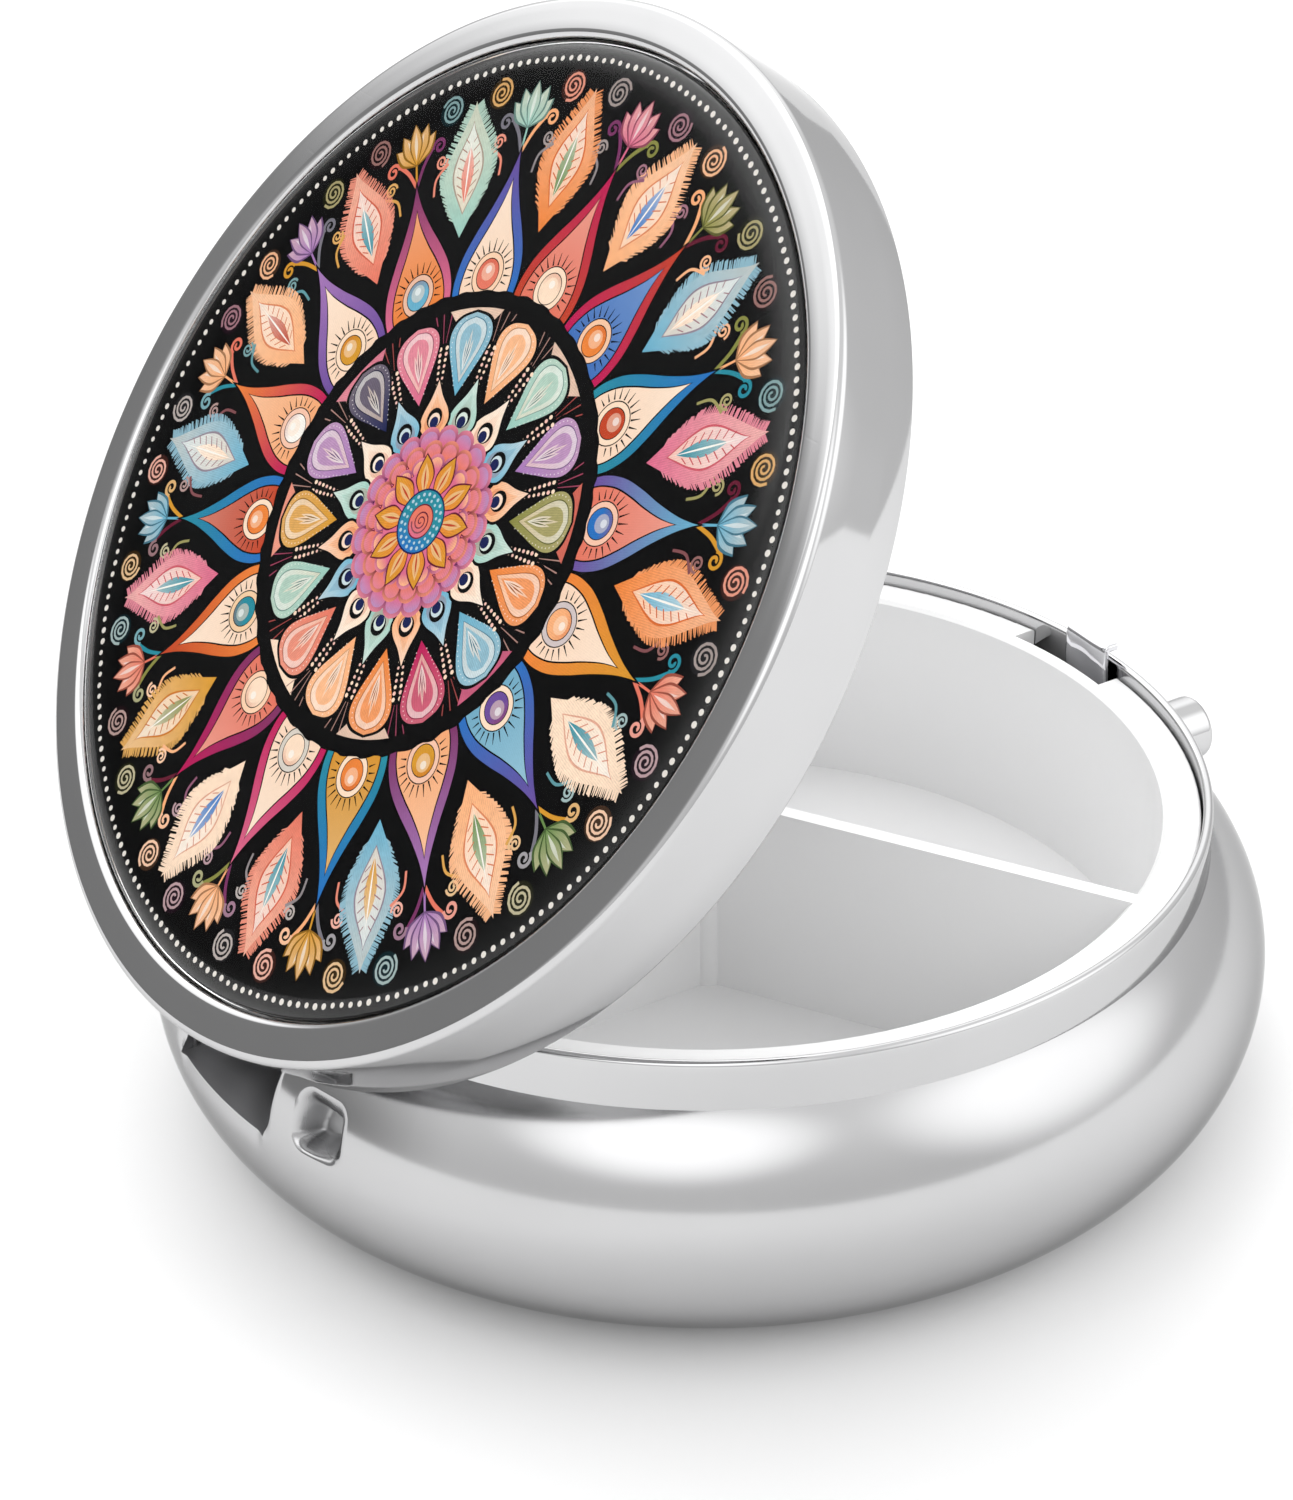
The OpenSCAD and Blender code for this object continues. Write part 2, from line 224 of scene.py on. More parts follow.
spring_metal = metal("spring_steel", (0.5, 0.5, 0.51, 1), (0.36, 0.36, 0.38, 1), 0.24, 0.12, 0.5, 0.1)
white_plastic = plastic("tray_plastic", (0.945, 0.945, 0.945, 1), (0.93, 0.93, 0.932, 1), 0.22, 0.0)
tape = plastic("tape", (0.72, 0.71, 0.66, 1), (0.62, 0.61, 0.57, 1), 0.55, 0.3)


def glass():
    """Clear dome: shows what is behind it, and mirrors most on its rolled shoulder."""
    mat, n, out = material("dome")
    at = n.add("ShaderNodeTexCoord").outputs["Object"]
    smear = n.noise(at, 160, 3, 0.6, 0.5)
    gloss = n.add("ShaderNodeBsdfGlossy")
    n.put(n.span(smear, 0.4, 0.75, 0.05, 0.12, True), gloss.inputs["Roughness"])
    gloss.inputs["Color"].default_value = (1, 1, 1, 1)
    normal = n.bump(n.noise(at, 260, 2, 0.5), 0.02, 0.00001)
    n.put(normal, gloss.inputs["Normal"])
    clear = n.add("ShaderNodeBsdfTransparent")
    clear.inputs["Color"].default_value = (0.985, 0.99, 0.99, 1)
    fresnel = n.add("ShaderNodeFresnel")
    fresnel.inputs["IOR"].default_value = 1.45
    n.put(normal, fresnel.inputs["Normal"])
    shoulder = n.add("ShaderNodeAttribute", attribute_name="shoulder").outputs["Fac"]
    share = n.math("MULTIPLY", fresnel.outputs[0], n.span(shoulder, 0.0, 1.0, 0.035, 1.0))
    both = n.add("ShaderNodeMixShader")
    n.put(share, both.inputs[0])
    n.put(clear.outputs[0], both.inputs[1])
    n.put(gloss.outputs[0], both.inputs[2])
    n.put(both.outputs[0], out.inputs["Surface"])
    return mat


def bonded():
    """The dome's underside is glued to the picture, so it mirrors nothing."""
    mat, n, out = material("dome_underside")
    clear = n.add("ShaderNodeBsdfTransparent")
    at = n.add("ShaderNodeTexCoord").outputs["Object"]
    n.put(n.mix(n.noise(at, 200, 2), (0.99, 0.99, 0.99, 1), (0.97, 0.975, 0.98, 1)),
          clear.inputs["Color"])
    n.put(clear.outputs[0], out.inputs["Surface"])
    return mat


def ink():
    """Printed picture: colour from the mesh, brushed by strokes that follow each petal."""
    mat, n, out = material("picture")
    paint = n.add("ShaderNodeAttribute", attribute_name="ink")
    uv = n.add("ShaderNodeUVMap", uv_map="petal").outputs[0]
    at = n.add("ShaderNodeTexCoord").outputs["Object"]
    wob = n.noise(at, 700, 2, 0.5)
    split = n.add("ShaderNodeSeparateXYZ")
    n.put(uv, split.inputs[0])
    across = n.math("ADD", split.outputs[0], n.math("MULTIPLY", wob, 0.09))
    wave = n.math("SINE", n.math("MULTIPLY", across, 62.0))
    stroke = n.noise(n.scaled(uv, (38, 5, 1)), 1.0, 3, 0.6, 0.4)
    fine = n.noise(at, 2600, 3, 0.6)
    mark = n.math("ADD", n.math("MULTIPLY", wave, 0.10), n.span(stroke, 0.25, 0.75, -0.22, 0.22))
    mark = n.math("ADD", mark, n.span(fine, 0.3, 0.7, -0.08, 0.08))
    gain = n.math("MULTIPLY_ADD", mark, paint.outputs["Alpha"], 1.0)
    tone = n.mix(1.0, paint.outputs["Color"], gain, "MULTIPLY")
    r1 = n.span(fine, 0.3, 0.7, 0.38, 0.55)
    normal = n.bump(n.math("ADD", stroke, fine), 0.1, 0.00001)
    principled(n, out, Base_Color=tone, Roughness=r1, Normal=normal,
               Specular_IOR_Level=0.05)
    return mat


# ---------------------------------------------------------------- CAD nodes keep their shape
finish_of = {
    "base_shell": chrome, "neck_ring": lid_chrome, "lid_shell": lid_chrome,
    "push_button": chrome, "latch_strip": latch_chrome,
    "hinge_bracket": inner_metal, "latch_guide": inner_metal, "button_bushing": inner_metal,
    "lid_leaf": inner_metal, "lid_strike": inner_metal, "hinge_pin": pin_metal,
    "hinge_spring": spring_metal, "button_spring": spring_metal,
    "tray": white_plastic, "tray_tape": tape, "glue_pad": tape,
    "art_disc": white_plastic, "cabochon": white_plastic,
}
for name, mat in finish_of.items():
    mesh = nodes[name].data
    mesh.materials.clear()
    mesh.materials.append(mat)

# ---------------------------------------------------------------- lid frame
joint = next(j for j in frame["joints"] if j["name"] == "lid_hinge")
HINGE = Vector(joint["pos_m"])
OPEN = math.radians(53.5)
LID = Matrix.Translation(HINGE) @ Matrix.Rotation(-OPEN, 4, "X") @ Matrix.Translation(-HINGE)

# Sizes in mm, lid shut: lid, picture, neck ring, bowl, hinge opening (half width), pocket, button
RECESS_Z, RECESS_R, PAD_T, DISC_T, DISC_R = 15.75, 21.02, 0.15, 0.2, 20.95
PICTURE_Z = RECESS_Z + PAD_T + DISC_T
NECK_R, NECK_T = 22.3, 0.45
BULGE_C, BULGE_R, SEAT_Z, SHELL_T = 18.17, 6.83, 6.83, 0.6
SLOT_W, SLOT_Z, SLOT_ROLL = 3.75, 7.1, 0.6
POCKET_A, POCKET_Z, POCKET_W, POCKET_H, POCKET_CORNER = math.radians(16.2), 8.95, 2.75, 2.6, 0.7
POCKET_SKIN_R = 24.6
BUTTON_R, BUTTON_Z = 1.62, 8.3
LEDGE_Z = SLOT_Z + 0.02


def piece(name, mesh, body, stands_for, mats):
    """Adds a finer mesh that rides a body and takes the place of CAD nodes."""
    obj = bpy.data.objects.new(name, mesh)
    bpy.context.scene.collection.objects.link(obj)
    for m in mats:
        mesh.materials.append(m)
    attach(obj, body)
    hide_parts(*stands_for)
    return obj


# ---------------------------------------------------------------- picture: own mandala
rng = random.Random(11)
shapes = []
INK_GAIN, INK_DEPTH = 0.9, 1.28


def hexc(text):
    return rgb(*(int(text[i:i + 2], 16) for i in (0, 2, 4)))


INK = {k: hexc(v) for k, v in {
    "black": "070608", "white": "f6f1ea", "cream": "f7dfc9", "peach": "f3b98c",
    "orange": "ea9450", "gold": "d9a544", "salmon": "e58a76", "rust": "c75a3c",
    "pink": "dd7f9b", "magenta": "c42a6c", "plum": "8d4a78", "lilac": "b48cc0",
    "violet": "7f62a6", "navy": "2b3566", "blue": "3f83c4", "sky": "7db9cf",
    "teal": "3e9aa8", "mint": "a9cfc4", "green": "7d9a62", "olive": "9a9a5a",
    "grey": "8d8a92", "wine": "7a2b45",
}.items()}


def mixed(a, b, t):
    return tuple(x + (y - x) * t for x, y in zip(a, b))


def spline(points, steps):
    """Catmull-Rom through the points."""
    pts = [points[0]] + list(points) + [points[-1]]
    out = []
    for i in range(1, len(pts) - 2):
        p0, p1, p2, p3 = pts[i - 1:i + 3]
        for k in range(steps):
            t = k / steps
            out.append(tuple(
                0.5 * (2 * b + (c - a) * t + (2 * a - 5 * b + 4 * c - d) * t * t
                       + (3 * b - a - 3 * c + d) * t ** 3)
                for a, b, c, d in zip(p0, p1, p2, p3)))
    out.append(points[-1])
    return out


def outline(profile, length, width, steps=5):
    """Closed outline from half widths along a length, symmetric about local Y."""
    half = spline(profile, steps)
    left = [(-w * width, t * length) for t, w in half]
    right = [(w * width, t * length) for t, w in half if w > 1e-6]
    return left + right[::-1]


def shape(points, a, b=None, at=(0.0, 0.0), turn=0.0, length=1.0, hatch=0.35):
    """Adds one painted area. at and turn place local Y outwards at angle turn."""
    c, s = math.cos(turn), math.sin(turn)
    world = [(at[0] + x * c - y * s, at[1] + x * s + y * c) for x, y in points]
    clean = [world[0]]
    for p in world[1:]:
        if math.dist(p, clean[-1]) > 0.004:
            clean.append(p)
    if math.dist(clean[0], clean[-1]) < 0.004:
        clean.pop()
    if len(clean) < 3:
        return
    if sum(p[0] * q[1] - q[0] * p[1] for p, q in zip(clean, clean[1:] + clean[:1])) < 0:
        clean.reverse()
    shapes.append((clean, a, b or a, at, turn, length, hatch))


def polar(r, angle, x=0.0):
    """A point at radius r, x to the side, for the direction angle."""
    return (-math.sin(angle) * r + math.cos(angle) * x, math.cos(angle) * r + math.sin(angle) * x)


def disc(r, at, a, b=None, count=20, hatch=0.1, squeeze=1.0, turn=0.0):
    """A painted round spot, squeezed along its own Y."""
    pts = [(r * math.cos(math.tau * i / count), squeeze * r * math.sin(math.tau * i / count))
           for i in range(count)]
    shape(pts, a, b, at, turn, r, hatch)


def ribbon(line, width, a, b=None, taper=1.0):
    """A painted stroke along a line of points, thinner at its end by taper."""
    left, right = [], []
    for i, p in enumerate(line):
        q0, q1 = line[max(i - 1, 0)], line[min(i + 1, len(line) - 1)]
        dx, dy = q1[0] - q0[0], q1[1] - q0[1]
        ln = math.hypot(dx, dy) or 1
        w = width / 2 * (1 + (taper - 1) * i / (len(line) - 1))
        left.append((p[0] - dy / ln * w, p[1] + dx / ln * w))
        right.append((p[0] + dy / ln * w, p[1] - dx / ln * w))
    shape(left + right[::-1], a, b, (0, 0), 0, 1, 0.1)


def coil(at, r, turns, width, a, turn=0.0, hand=1, inner=0.12, step=13):
    """A painted spiral that winds in to inner times its radius."""
    count = max(8, int(step * turns))
    line = []
    for i in range(count + 1):
        t = i / count
        ang = turn + hand * math.tau * turns * t
        rad = r * (1 - (1 - inner) * t)
        line.append((at[0] + rad * math.cos(ang), at[1] + rad * math.sin(ang)))
    ribbon(line, width, a, mixed(a, INK["white"], 0.25), 0.8)


OGEE = [(0, 0.93), (0.12, 0.985), (0.28, 0.92), (0.45, 0.70), (0.62, 0.42), (0.8, 0.17),
        (0.93, 0.045), (1, 0)]
LEAF = [(0, 0), (0.1, 0.27), (0.28, 0.75), (0.45, 1), (0.62, 0.86), (0.8, 0.42), (0.92, 0.12), (1, 0)]
DROP = [(0, 0), (0.12, 0.2), (0.3, 0.5), (0.5, 0.82), (0.68, 1), (0.83, 0.93), (0.94, 0.6), (1, 0)]
SLIM = [(0, 0), (0.25, 0.6), (0.5, 1), (0.75, 0.7), (1, 0)]
TIP = [(0, 0.55), (0.2, 0.95), (0.42, 0.85), (0.7, 0.36), (1, 0)]

N = 16
STEP = math.tau / N
EDGE = ["magenta", "teal", "plum", "blue", "orange", "violet", "teal", "magenta",
        "rust", "blue", "pink", "violet", "magenta", "blue", "orange", "plum"]
EDGE2 = ["pink", "blue", "lilac", "violet", "gold", "sky", "blue", "rust",
         "magenta", "violet", "plum", "lilac", "orange", "teal", "rust", "magenta"]
FILL = ["cream", "gold", "peach", "sky", "cream", "salmon", "cream", "blue",
        "salmon", "cream", "orange", "cream", "peach", "rust", "cream", "salmon"]
SUN = ["cream", "orange", "gold", "violet", "peach", "blue", "rust", "orange",
       "cream", "salmon", "sky", "gold", "white", "orange", "teal", "cream"]
DROPS = ["peach", "orange", "magenta", "sky", "orange", "olive", "lilac", "mint",
         "peach", "sky", "pink", "navy", "lilac", "gold", "mint", "salmon"]
FEATHER = ["salmon", "sky", "peach", "cream", "orange", "pink", "sky", "peach",
           "orange", "mint", "salmon", "peach", "sky", "pink", "gold", "cream"]
VEIN = ["teal", "gold", "green", "teal", "sky", "teal", "cream", "blue",
        "green", "salmon", "teal", "rust", "cream", "teal", "olive", "blue"]
FLOWER = ["peach", "gold", "lilac", "green", "salmon", "sky", "peach", "olive",
          "pink", "mint", "gold", "lilac", "peach", "sky", "salmon", "green"]
COIL = ["plum", "grey", "salmon", "gold", "teal", "wine", "olive", "peach"]

# Ground and dotted edge
disc(DISC_R, (0, 0), INK["black"], None, 192, 0.0)
for i in range(240):
    a = math.tau * i / 240
    r = 20.26 + rng.uniform(-0.03, 0.03)
    disc(rng.uniform(0.12, 0.15), polar(r, a), INK["white"], None, 8, 0.0)

for i in range(N):
    a = STEP * i
    h = a + STEP / 2
    ink_of = lambda names, k=i: INK[names[k % len(names)]]
    # Curls and tulip beyond each pointed petal
    stem = [polar(15.6 + 0.28 * k, a, 0.0) for k in range(7)]
    ribbon(stem, 0.13, ink_of(FLOWER), None, 0.8)
    for hand in (-1, 1):
        way = spline([polar(16.1, a, 0), polar(17.0, a, hand * 0.45), polar(17.7, a, hand * 1.05)], 6)
        ribbon(way, 0.16, ink_of(COIL, i + 3 * hand + 3), None, 1.3)
        coil(polar(17.55, a, hand * 1.42), 0.40, 1.35, 0.17,
             ink_of(COIL, i + 3 * hand + 3), a + (math.pi if hand > 0 else 0), -hand, 0.2, 16)
    for k, lean in enumerate((-0.78, 0.78, -0.4, 0.4, 0.0)):
        size = (1.75, 1.75, 2.0, 2.0, 2.15)[k]
        base = polar(17.2, a)
        shape(outline(SLIM, size, 0.40, 4), mixed(ink_of(FLOWER), INK["black"], 0.5), None,
              base, a - lean, size, 0.3)
        shape(outline(SLIM, size - 0.14, 0.31, 4), ink_of(FLOWER), mixed(ink_of(FLOWER), INK["cream"], 0.5),
              polar(17.26, a), a - lean, size, 0.5)
        shape(outline(SLIM, size - 0.7, 0.10, 3), mixed(ink_of(FLOWER), INK["white"], 0.65), None,
              polar(17.5, a), a - lean, size, 0.2)
    # Coils between tulip and feather
    for k in (0, 1):
        c = polar(19.05, a + STEP * (0.30 if k else -0.30))
        tone = ink_of(COIL, i * 2 + k)
        disc(0.72, c, mixed(tone, INK["black"], 0.9), None, 18, 0.2)
        coil(c, 0.68, 2.6, 0.13, mixed(tone, INK["cream"], 0.3), rng.uniform(0, 6),
             1 if (i + k) % 2 else -1, 0.12)
        side = 1 if k else -1
        coil(polar(16.75, a + side * STEP * 0.235), 0.36, 1.7, 0.12,
             mixed(ink_of(COIL, i + k), INK["cream"], 0.25), a, side, 0.14, 14)
        way = spline([polar(15.2, a + side * STEP * 0.17), polar(16.0, a + side * STEP * 0.19),
                      polar(16.5, a + side * STEP * 0.3)], 5)
        ribbon(way, 0.12, mixed(ink_of(COIL, i + k), INK["cream"], 0.15), None, 1.2)
    # Feathered leaf between the pointed petals
    base = polar(12.7, h)
    hull = outline(LEAF, 6.35, 1.42, 5)
    for side in (-1, 1):
        prof = spline(LEAF, 5)
        for t, w in prof[6:-4]:
            for dt in (0.0, 0.017):
                y, x = (t + dt) * 6.35, side * (w * 1.42 - 0.1)
                stroke = [(x, y - 0.05), (x + side * 0.42, y + 0.14 + 0.1 * rng.random()),
                          (x + side * 0.40, y + 0.20 + 0.1 * rng.random()), (x, y + 0.06)]
                shape(stroke, mixed(ink_of(FEATHER), INK["cream"], 0.2), None, base, h, 6.0, 0.1)
    shape(hull, ink_of(FEATHER), mixed(ink_of(FEATHER), INK["cream"], 0.55), base, h, 6.35, 0.8)
    b2 = polar(13.75, h)
    shape(outline(LEAF, 4.4, 0.93, 5), mixed(ink_of(FEATHER), INK["rust"], 0.45), None, b2, h, 4.4, 0.7)
    shape(outline(LEAF, 4.2, 0.83, 5), mixed(ink_of(FEATHER), INK["cream"], 0.7),
          mixed(ink_of(FEATHER), INK["white"], 0.75), polar(13.85, h), h, 4.2, 0.6)
    shape(outline(SLIM, 2.7, 0.36, 5), ink_of(VEIN), mixed(ink_of(VEIN), INK["white"], 0.45),
          polar(14.25, h), h, 2.7, 0.8)
    for k in range(7):
        for side in (-1, 1):
            y = 0.55 + 0.42 * k
            w = 0.62 * math.sin(math.pi * min(1, (y + 0.5) / 4.3))
            shape([(side * 0.42 * w, y), (side * (w + 0.06), y + 0.26), (side * (w + 0.04), y + 0.31),
                   (side * 0.42 * w, y + 0.07)], mixed(ink_of(FEATHER), INK["rust"], 0.6), None,
                  polar(14.0, h), h, 3, 0.1)
    shape(outline(SLIM, 3.5, 0.045, 4), INK["white"], None, polar(14.0, h), h, 3, 0.0)

for i in range(N):
    a = STEP * i
    ink_of = lambda names, k=i: INK[names[k % len(names)]]
    # Pointed petal: black, coloured band, black line, fill
    root = polar(9.7, a)
    shape(outline(OGEE, 6.9, 2.22, 5), INK["black"], None, root, a, 6.9, 0.0)
for i in range(N):
    a = STEP * i
    ink_of = lambda names, k=i: INK[names[k % len(names)]]
    root = polar(9.7, a)
    shape(outline(OGEE, 6.5, 2.0, 5), ink_of(EDGE), ink_of(EDGE2), root, a, 6.5, 0.4)
    shape(outline(OGEE, 5.35, 1.60, 5), INK["black"], None, root, a, 5.3, 0.0)
    shape(outline(OGEE, 5.2, 1.53, 5), mixed(ink_of(FILL), INK["rust"], 0.08),
          mixed(ink_of(FILL), INK["white"], 0.22), root, a, 5.2, 0.22)
    # Rising sun with rays
    sun = polar(10.75, a)
    for k in range(15):
        g = math.radians(-112 + 16 * k)
        r0, r1 = 1.02, 1.40 + 0.12 * math.cos(g) + 0.06 * rng.random()
        ray = [(-0.045, r0), (0.045, r0), (0.012, r1), (-0.012, r1)]
        shape(ray, INK["black"], None, sun, a + g, 1, 0.0)
    disc(0.95, sun, INK["black"], None, 28, 0.0, 1.05, a)
    disc(0.90, sun, mixed(ink_of(FILL, i + 3), INK["cream"], 0.7), None, 28, 0.2, 1.05, a)
    disc(0.68, sun, INK["black"], None, 24, 0.0, 1.05, a)
    disc(0.64, sun, ink_of(SUN), mixed(ink_of(SUN), INK["rust"], 0.3), 24, 0.5, 1.05, a)
    disc(0.40, polar(10.85, a), mixed(ink_of(SUN), INK["cream"], 0.45), None, 18, 0.3, 1.0, a)
    disc(0.18, polar(10.95, a), mixed(ink_of(SUN), INK["white"], 0.75), None, 14, 0.0, 1.0, a)

# Black ring with a hand-cut edge, and the ground inside it
ring_r = [10.02 + 0.05 * math.sin(47 * math.tau * i / 240) + rng.uniform(-0.03, 0.03) for i in range(240)]
shape([polar(r, math.tau * i / 240) for i, r in enumerate(ring_r)], INK["black"], None, (0, 0), 0, 10, 0.0)

for i in range(N):
    a = STEP * i
    h = a + STEP / 2
    ink_of = lambda names, k=i: INK[names[k % len(names)]]
    # Fan between two drops, with ribs
    fan = [polar(9.28, h + STEP * u) for u in (-0.46, -0.3, -0.15, 0, 0.15, 0.3, 0.46)]
    fan += [polar(8.2, h + STEP * 0.2), polar(7.1, h), polar(8.2, h - STEP * 0.2)]
    tone = INK[("cream", "pink", "salmon", "cream")[i % 4]]
    shape(fan, mixed(tone, INK["wine"], 0.25), mixed(tone, INK["cream"], 0.3), (0, 0), h, 9, 0.7)
    for u in (-0.2, -0.07, 0.07, 0.2):
        ribbon([polar(9.25, h + STEP * u), polar(7.9, h + STEP * u * 0.35)], 0.06,
               mixed(tone, INK["wine"], 0.6), None, 0.5)
for i in range(N):
    a = STEP * i
    h = a + STEP / 2
    ink_of = lambda names, k=i: INK[names[k % len(names)]]
    lean = rng.uniform(-0.02, 0.02)
    root = polar(5.35, a + lean)
    shape(outline(DROP, 3.85, 1.42, 5), INK["black"], None, root, a, 3.8, 0.0)
    # Drop: body, dotted line, lighter heart, seeds
    body = ink_of(DROPS)
    shape(outline(DROP, 3.66, 1.26, 5), body, mixed(body, INK["cream"], 0.25),
          polar(5.42, a + lean), a, 3.7, 0.6)
    shape(outline(DROP, 2.95, 0.93, 5), mixed(body, INK["black"], 0.45), None,
          polar(5.95, a + lean), a, 3, 0.5)
    shape(outline(DROP, 2.86, 0.88, 5), mixed(body, INK["cream"], 0.55), mixed(body, INK["white"], 0.6),
          polar(6.0, a + lean), a, 2.9, 0.7)
    shape(outline(DROP, 2.3, 0.62, 5), mixed(body, INK["cream"], 0.2), None,
          polar(6.3, a + lean), a, 2.3, 0.9)
    for x, ln in ((-0.3, 1.4), (0.0, 1.85), (0.3, 1.4)):
        shape(outline(SLIM, ln, 0.10, 4), mixed(body, INK["white"], 0.8), mixed(body, INK["cream"], 0.6),
              polar(6.5, a + lean), a - x * 0.5, 2, 0.1)
        shape(outline(SLIM, ln * 0.8, 0.03, 3), mixed(body, INK["black"], 0.5), None,
              polar(6.6, a + lean), a - x * 0.5, 2, 0.0)
    for k in range(15):
        t = 0.14 + 0.80 * k / 14
        w = next(v for u, v in spline(DROP, 8) if u >= t) * 1.10
        for side in (-1, 1):
            disc(0.032, polar(5.42 + 3.66 * t - 0.05, a + lean, side * w),
                 mixed(body, INK["white"], 0.75), None, 6, 0.0)
    # Beads between the drops
    for k in range(9):
        r = 5.5 + 0.27 * k
        for side in (-1, 1):
            disc(0.055 + 0.006 * k, polar(r, h, side * (0.10 + 0.012 * k)),
                 mixed(INK["cream"], INK["pink"], 0.3 * (k % 2)), None, 7, 0.0)

# Small pointed petals with an eye
for i in range(N):
    a = STEP * (i + 0.5)
    tone = INK[("mint", "peach", "sky", "cream")[i % 4]]
    shape(outline(TIP, 2.7, 1.02, 5), INK["black"], None, polar(3.75, a), a, 2.7, 0.0)
    shape(outline(TIP, 2.45, 0.88, 5), tone, mixed(tone, INK["white"], 0.5), polar(3.8, a), a, 2.4, 0.7)
    shape(outline(TIP, 1.75, 0.60, 5), mixed(tone, INK["rust"], 0.35), mixed(tone, INK["white"], 0.2),
          polar(3.9, a), a, 1.7, 0.6)
    disc(0.46, polar(4.55, a), INK["black"], None, 18, 0.0)
    disc(0.34, polar(4.45, a), mixed(tone, INK["white"], 0.6), None, 16, 0.3)
    disc(0.26, polar(4.36, a), INK["navy"], None, 14, 0.0)

# Scalloped flower in rings
for radius, size, count, one, two in (
        (3.72, 0.62, 20, "plum", "pink"), (3.60, 0.50, 20, "pink", "lilac"),
        (3.12, 0.56, 18, "wine", "salmon"), (3.02, 0.46, 18, "salmon", "pink"),
        (2.55, 0.50, 16, "plum", "pink"), (2.47, 0.40, 16, "pink", "peach")):
    for k in range(count):
        a = math.tau * (k + (0.5 if size in (0.56, 0.46) else 0)) / count
        pts = outline([(0, 0.8), (0.35, 1), (0.7, 0.85), (0.92, 0.45), (1, 0)], size * 1.35, size, 4)
        shape(pts, INK[one], mixed(INK[two], INK["cream"], 0.15),
              polar(radius - size * 0.6, a), a, size * 1.3, 0.6)
    disc(radius - size * 0.5, (0, 0), INK[one], None, 48, 0.3)
for k in range(10):
    a = math.tau * k / 10
    shape(outline(SLIM, 2.2, 0.56, 5), INK["wine"], None, polar(0.85, a), a, 2.2, 0.2)
for k in range(10):
    a = math.tau * k / 10
    shape(outline(SLIM, 2.05, 0.48, 5), INK["orange"], INK["gold"], polar(0.9, a), a, 2.0, 0.8)
    shape(outline(SLIM, 1.45, 0.22, 4), mixed(INK["gold"], INK["cream"], 0.4), None,
          polar(1.15, a), a, 1.4, 0.5)
    shape(outline(SLIM, 1.1, 0.05, 4), INK["rust"], None, polar(1.3, a), a, 1.4, 0.0)
disc(1.42, (0, 0), INK["navy"], None, 36, 0.2)
disc(1.34, (0, 0), INK["teal"], INK["blue"], 36, 0.6)
for r, size, count in ((1.17, 0.085, 22), (0.93, 0.07, 18)):
    for k in range(count):
        disc(size, polar(r, math.tau * k / count), mixed(INK["sky"], INK["white"], 0.4), None, 8, 0.0)
disc(0.76, (0, 0), INK["wine"], None, 28, 0.2)
disc(0.70, (0, 0), INK["salmon"], INK["pink"], 28, 0.5)
coil((0, 0), 0.55, 2.4, 0.07, INK["wine"], 0.4, 1, 0.1, 16)


def picture_mesh():
    """One flat watertight disc whose upper face is cut along every painted outline."""
    verts, faces = [], []
    for pts, *_ in shapes:
        start = len(verts)
        verts += [Vector(p) for p in pts]
        faces.append(list(range(start, start + len(pts))))
    co, _, tris, _, _, owners = delaunay_2d_cdt(verts, [], faces, 1, 1e-4)
    bm = bmesh.new()
    top = [bm.verts.new((p[0] * MM, p[1] * MM, PICTURE_Z * MM)) for p in co]
    layer = bm.loops.layers.float_color.new("ink")
    petal = bm.loops.layers.uv.new("petal")
    for tri, owner in zip(tris, owners):
        if not owner:
            continue
        try:
            face = bm.faces.new([top[k] for k in tri])
        except ValueError:
            continue
        pts, a, b, at, turn_, length, hatch = shapes[max(owner)]
        c, s = math.cos(turn_), math.sin(turn_)
        for loop in face.loops:
            dx, dy = loop.vert.co.x / MM - at[0], loop.vert.co.y / MM - at[1]
            u, v = dx * c + dy * s, -dx * s + dy * c
            t = min(1, max(0, v / length))
            tone = [INK_GAIN * c ** INK_DEPTH for c in mixed(a, b, t)]
            loop[layer] = (*tone, hatch)
            loop[petal].uv = (u, v)
    bm.normal_update()
    for face in bm.faces:
        if face.normal.z < 0:
            face.normal_flip()
    loose = [v for v in bm.verts if not v.link_faces]
    bmesh.ops.delete(bm, geom=loose, context="VERTS")
    rim = sorted((v for v in bm.verts if v.is_boundary), key=lambda v: math.atan2(v.co.y, v.co.x))
    low = [bm.verts.new((v.co.x, v.co.y, (PICTURE_Z - DISC_T) * MM)) for v in rim]
    plain = [bm.faces.new(low[::-1])]
    for i, v in enumerate(rim):
        j = (i + 1) % len(rim)
        plain.append(bm.faces.new((v, low[i], low[j], rim[j])))
    for face in plain:
        for loop in face.loops:
            loop[layer] = (*INK["white"], 0.1)
    bmesh.ops.recalc_face_normals(bm, faces=bm.faces)
    mesh = bpy.data.meshes.new("picture")
    bm.to_mesh(mesh)
    bm.free()
    mesh.transform(LID)
    return mesh


# ---------------------------------------------------------------- mesh helpers
def step(t):
    """Smooth step from 0 to 1."""
    t = min(1, max(0, t))
    return t * t * (3 - 2 * t)


def arc(cx, cz, r, from_deg, to_deg, steps, rz=None):
    """Points of an arc in the (radius, height) plane."""
    rz = r if rz is None else rz
    return [(cx + r * math.cos(math.radians(from_deg + (to_deg - from_deg) * i / steps)),
             cz + rz * math.sin(math.radians(from_deg + (to_deg - from_deg) * i / steps)))
            for i in range(steps + 1)]


LATHE_STEPS = 360
SHARP_LATHE, SHARP_CUT, SHARP_STRIP = math.radians(30), math.radians(32), math.radians(40)


